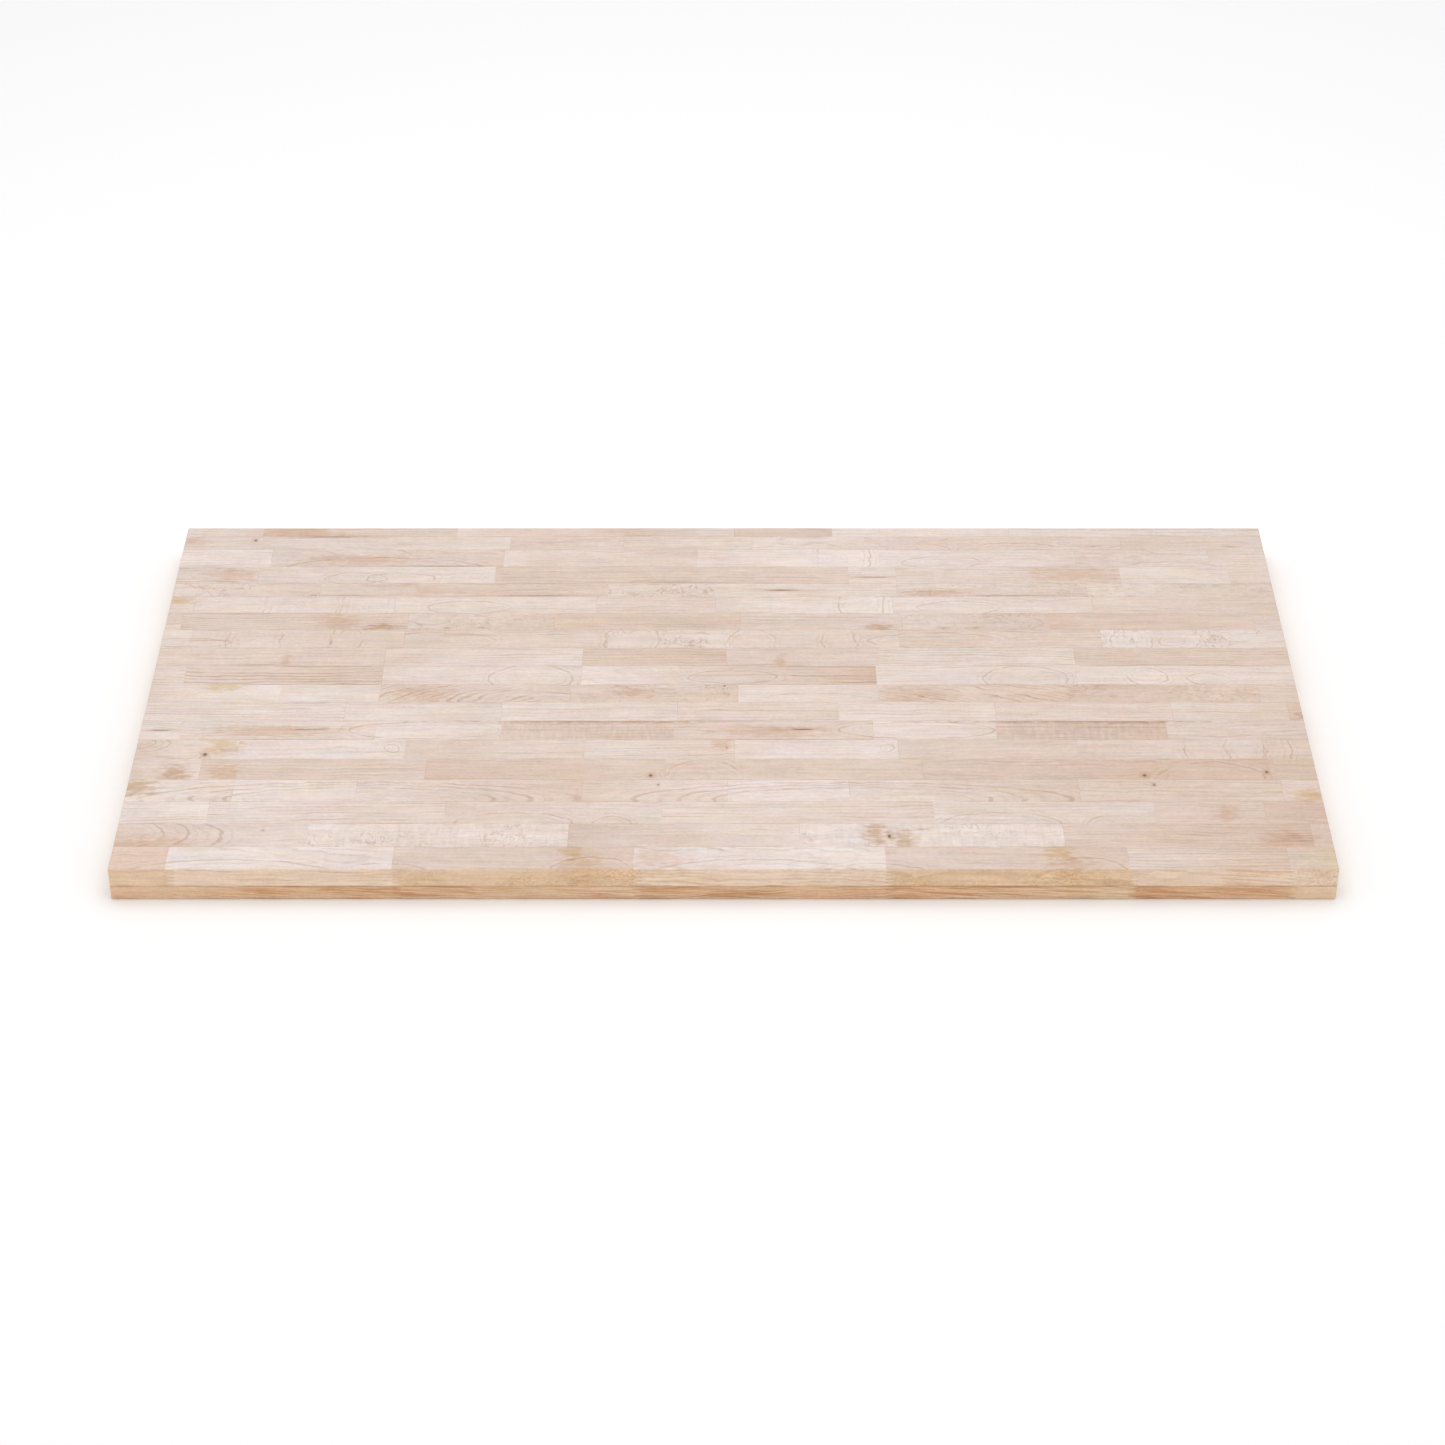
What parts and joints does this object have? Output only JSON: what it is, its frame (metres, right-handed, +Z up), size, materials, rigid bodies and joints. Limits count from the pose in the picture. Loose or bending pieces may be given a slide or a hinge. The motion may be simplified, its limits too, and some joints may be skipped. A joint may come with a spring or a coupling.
{
  "type": "butcher block table top",
  "caption": "Rectangular butcher block table top in pale hard maple: rails of short two-ply blocks, finger-jointed end to end and glued edge to edge, with eased edges.",
  "frame": {"origin": "centre of the underside", "axes": "+Z up through the work surface; +X along the length, to the right of someone at the front edge; +Y from the front edge to the back edge"},
  "size_m": [1.2192, 0.635, 0.0381],
  "materials": {
    "hard_maple": "sanded smooth, clear matt oil"
  },
  "bodies": {
    "root": {"rail_01_lower_block_1": "hard_maple", "rail_01_lower_block_2": "hard_maple", "rail_01_lower_block_3": "hard_maple", "rail_01_lower_block_4": "hard_maple", "rail_01_lower_block_5": "hard_maple", "rail_01_lower_block_6": "hard_maple", "rail_01_lower_block_7": "hard_maple", "rail_01_upper_block_1": "hard_maple", "rail_01_upper_block_2": "hard_maple", "rail_01_upper_block_3": "hard_maple", "rail_01_upper_block_4": "hard_maple", "rail_01_upper_block_5": "hard_maple", "rail_01_upper_block_6": "hard_maple", "rail_01_upper_block_7": "hard_maple", "rail_02_lower_block_1": "hard_maple", "rail_02_lower_block_2": "hard_maple", "rail_02_lower_block_3": "hard_maple", "rail_02_lower_block_4": "hard_maple", "rail_02_lower_block_5": "hard_maple", "rail_02_lower_block_6": "hard_maple", "rail_02_upper_block_1": "hard_maple", "rail_02_upper_block_2": "hard_maple", "rail_02_upper_block_3": "hard_maple", "rail_02_upper_block_4": "hard_maple", "rail_02_upper_block_5": "hard_maple", "rail_02_upper_block_6": "hard_maple", "rail_03_lower_blocks": "hard_maple", "rail_03_upper_blocks": "hard_maple", "rail_04_lower_blocks": "hard_maple", "rail_04_upper_blocks": "hard_maple", "rail_05_lower_blocks": "hard_maple", "rail_05_upper_blocks": "hard_maple", "rail_06_lower_blocks": "hard_maple", "rail_06_upper_blocks": "hard_maple", "rail_07_lower_blocks": "hard_maple", "rail_07_upper_blocks": "hard_maple", "rail_08_lower_blocks": "hard_maple", "rail_08_upper_blocks": "hard_maple", "rail_09_lower_blocks": "hard_maple", "rail_09_upper_blocks": "hard_maple", "rail_10_lower_blocks": "hard_maple", "rail_10_upper_blocks": "hard_maple", "rail_11_lower_blocks": "hard_maple", "rail_11_upper_blocks": "hard_maple", "rail_12_lower_blocks": "hard_maple", "rail_12_upper_blocks": "hard_maple", "rail_13_lower_blocks": "hard_maple", "rail_13_upper_blocks": "hard_maple", "rail_14_lower_blocks": "hard_maple", "rail_14_upper_blocks": "hard_maple", "rail_15_lower_blocks": "hard_maple", "rail_15_upper_blocks": "hard_maple", "rail_16_lower_blocks": "hard_maple", "rail_16_upper_blocks": "hard_maple", "rail_17_lower_blocks": "hard_maple", "rail_17_upper_blocks": "hard_maple", "rail_18_lower_blocks": "hard_maple", "rail_18_upper_blocks": "hard_maple", "rail_19_lower_blocks": "hard_maple", "rail_19_upper_blocks": "hard_maple"}
  },
  "joints": []
}
